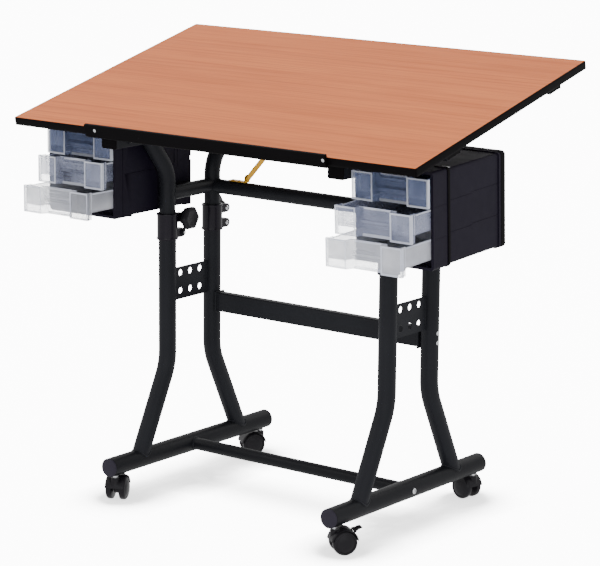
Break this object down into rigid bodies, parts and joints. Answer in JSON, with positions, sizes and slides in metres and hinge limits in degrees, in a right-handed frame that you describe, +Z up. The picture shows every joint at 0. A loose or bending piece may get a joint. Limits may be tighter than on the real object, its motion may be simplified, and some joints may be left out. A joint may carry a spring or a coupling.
{
  "type": "drafting table",
  "caption": "Tilting wood-grain drafting table on a black tube frame with casters, a pencil ledge, height clamps and clear drawers in black housings at each side.",
  "frame": {"origin": "on the floor under the middle of the whole table's box at rest", "axes": "+Z up, +X to the user's right, +Y away from the user"},
  "size_m": [1.016, 0.6063, 0.9463],
  "materials": {
    "frame_steel": "satin black powder coat",
    "black_plastic": "fine-textured moulded plastic",
    "caster_plastic": "satin moulded nylon",
    "clear_plastic": "translucent frosted polystyrene",
    "laminate": "satin wood-grain laminate over particle board",
    "yellow_zinc": "yellow zinc plate"
  },
  "bodies": {
    "base": {"floor_tube_left": "frame_steel", "web_plate_left": "frame_steel", "end_cap_front_left": "black_plastic", "lower_upright_front_left": "frame_steel", "collar_front_left": "frame_steel", "end_cap_rear_left": "black_plastic", "lower_upright_rear_left": "frame_steel", "collar_rear_left": "frame_steel", "floor_tube_right": "frame_steel", "web_plate_right": "frame_steel", "end_cap_front_right": "black_plastic", "lower_upright_front_right": "frame_steel", "collar_front_right": "frame_steel", "end_cap_rear_right": "black_plastic", "lower_upright_rear_right": "frame_steel", "collar_rear_right": "frame_steel", "mid_bar": "frame_steel", "low_bar": "frame_steel"},
    "upper_frame": {"crossbar": "frame_steel", "stay_foot": "yellow_zinc", "link_tube_left": "frame_steel", "side_rail_left": "frame_steel", "housing_left": "black_plastic", "upper_upright_front_left": "frame_steel", "upper_upright_rear_left": "frame_steel", "link_tube_right": "frame_steel", "side_rail_right": "frame_steel", "housing_right": "black_plastic", "upper_upright_front_right": "frame_steel", "upper_upright_rear_right": "frame_steel"},
    "top": {"tabletop": "laminate", "pencil_ledge": "black_plastic", "batten_front": "frame_steel", "batten_rear": "frame_steel", "tilt_hinge_left": "frame_steel", "tilt_hinge_right": "frame_steel", "stay_top_bracket": "yellow_zinc"},
    "stay_lower": {"stay_lower_arm": "yellow_zinc"},
    "stay_upper": {"stay_upper_arm": "yellow_zinc"},
    "knob_front_left": {"clamp_knob_front_left": "black_plastic"},
    "knob_rear_left": {"clamp_knob_rear_left": "black_plastic"},
    "knob_front_right": {"clamp_knob_front_right": "black_plastic"},
    "knob_rear_right": {"clamp_knob_rear_right": "black_plastic"},
    "caster_front_left": {"caster_hood_front_left": "caster_plastic"},
    "wheels_front_left": {"caster_wheels_front_left": "caster_plastic"},
    "brake_front_left": {"brake_lever_front_left": "caster_plastic"},
    "caster_rear_left": {"caster_hood_rear_left": "caster_plastic"},
    "wheels_rear_left": {"caster_wheels_rear_left": "caster_plastic"},
    "caster_front_right": {"caster_hood_front_right": "caster_plastic"},
    "wheels_front_right": {"caster_wheels_front_right": "caster_plastic"},
    "brake_front_right": {"brake_lever_front_right": "caster_plastic"},
    "caster_rear_right": {"caster_hood_rear_right": "caster_plastic"},
    "wheels_rear_right": {"caster_wheels_rear_right": "caster_plastic"},
    "drawer_bottom_left": {"drawer_bottom_left": "clear_plastic"},
    "drawer_middle_left": {"drawer_middle_left": "clear_plastic"},
    "drawer_top_left": {"drawer_top_left": "clear_plastic"},
    "drawer_bottom_right": {"drawer_bottom_right": "clear_plastic"},
    "drawer_middle_right": {"drawer_middle_right": "clear_plastic"},
    "drawer_top_right": {"drawer_top_right": "clear_plastic"}
  },
  "joints": [
    {"name": "height_slide", "type": "slide", "parent": "base", "child": "upper_frame", "axis": [0, 0, 1], "range_m": [-0.003, 0.15]},
    {"name": "top_tilt", "type": "hinge", "parent": "upper_frame", "child": "top", "pos_m": [0, -0.19996, 0.766], "axis": [1, 0, 0], "range_deg": [-13.9, 4.4]},
    {"name": "stay_foot_pivot", "type": "hinge", "parent": "upper_frame", "child": "stay_lower", "pos_m": [-0.19, 0.08754, 0.6575], "axis": [1, 0, 0], "range_deg": [-18, 5.75]},
    {"name": "stay_elbow_pivot", "type": "hinge", "parent": "stay_lower", "child": "stay_upper", "pos_m": [-0.19, 0.16504, 0.71], "axis": [1, 0, 0], "range_deg": [-6.3, 19.8]},
    {"name": "knob_turn_front_left", "type": "hinge", "parent": "base", "child": "knob_front_left", "pos_m": [-0.287, -0.01896, 0.578], "axis": [1, 0, 0], "range_deg": [0, 720]},
    {"name": "knob_turn_rear_left", "type": "hinge", "parent": "base", "child": "knob_rear_left", "pos_m": [-0.287, 0.13004, 0.578], "axis": [-1, 0, 0], "range_deg": [0, 720]},
    {"name": "knob_turn_front_right", "type": "hinge", "parent": "base", "child": "knob_front_right", "pos_m": [0.287, -0.01896, 0.578], "axis": [-1, 0, 0], "range_deg": [0, 720]},
    {"name": "knob_turn_rear_right", "type": "hinge", "parent": "base", "child": "knob_rear_right", "pos_m": [0.287, 0.13004, 0.578], "axis": [1, 0, 0], "range_deg": [0, 720]},
    {"name": "caster_swivel_front_left", "type": "hinge", "parent": "base", "child": "caster_front_left", "pos_m": [-0.287, -0.23196, 0.056], "axis": [0, 0, 1], "continuous": true},
    {"name": "wheel_roll_front_left", "type": "hinge", "parent": "caster_front_left", "child": "wheels_front_left", "pos_m": [-0.29461, -0.21565, 0.025], "axis": [0.9063, 0.4226, 0], "continuous": true},
    {"name": "brake_press_front_left", "type": "hinge", "parent": "caster_front_left", "child": "brake_front_left", "pos_m": [-0.30399, -0.19553, 0.0465], "axis": [0.9063, 0.4226, 0], "range_deg": [-12, 0]},
    {"name": "caster_swivel_rear_left", "type": "hinge", "parent": "base", "child": "caster_rear_left", "pos_m": [-0.287, 0.25804, 0.056], "axis": [0, 0, 1], "continuous": true},
    {"name": "wheel_roll_rear_left", "type": "hinge", "parent": "caster_rear_left", "child": "wheels_rear_left", "pos_m": [-0.29732, 0.2433, 0.025], "axis": [-0.8192, 0.5736, 0], "continuous": true},
    {"name": "caster_swivel_front_right", "type": "hinge", "parent": "base", "child": "caster_front_right", "pos_m": [0.287, -0.23196, 0.056], "axis": [0, 0, 1], "continuous": true},
    {"name": "wheel_roll_front_right", "type": "hinge", "parent": "caster_front_right", "child": "wheels_front_right", "pos_m": [0.29783, -0.21759, 0.025], "axis": [0.7986, -0.6018, 0], "continuous": true},
    {"name": "brake_press_front_right", "type": "hinge", "parent": "caster_front_right", "child": "brake_front_right", "pos_m": [0.31119, -0.19986, 0.0465], "axis": [0.7986, -0.6018, 0], "range_deg": [-12, 0]},
    {"name": "caster_swivel_rear_right", "type": "hinge", "parent": "base", "child": "caster_rear_right", "pos_m": [0.287, 0.25804, 0.056], "axis": [0, 0, 1], "continuous": true},
    {"name": "wheel_roll_rear_right", "type": "hinge", "parent": "caster_rear_right", "child": "wheels_rear_right", "pos_m": [0.26927, 0.26117, 0.025], "axis": [0.1736, 0.9848, 0], "continuous": true},
    {"name": "drawer_slide_bottom_left", "type": "slide", "parent": "upper_frame", "child": "drawer_bottom_left", "axis": [0, -1, 0], "range_m": [-0.076, 0.094]},
    {"name": "drawer_slide_middle_left", "type": "slide", "parent": "upper_frame", "child": "drawer_middle_left", "axis": [0, -1, 0], "range_m": [-0.031, 0.139]},
    {"name": "drawer_slide_top_left", "type": "slide", "parent": "upper_frame", "child": "drawer_top_left", "axis": [0, -1, 0], "range_m": [-0.002, 0.168]},
    {"name": "drawer_slide_bottom_right", "type": "slide", "parent": "upper_frame", "child": "drawer_bottom_right", "axis": [0, -0.9987, -0.0506], "range_m": [-0.093, 0.077]},
    {"name": "drawer_slide_middle_right", "type": "slide", "parent": "upper_frame", "child": "drawer_middle_right", "axis": [0, -0.9987, -0.0506], "range_m": [-0.062, 0.108]},
    {"name": "drawer_slide_top_right", "type": "slide", "parent": "upper_frame", "child": "drawer_top_right", "axis": [0, -0.9987, -0.0506], "range_m": [-0.006, 0.164]}
  ],
  "couplings": [
    {"joint": "stay_foot_pivot", "follows": "top_tilt", "ratio": 1.292},
    {"joint": "stay_elbow_pivot", "follows": "top_tilt", "ratio": -1.418}
  ]
}
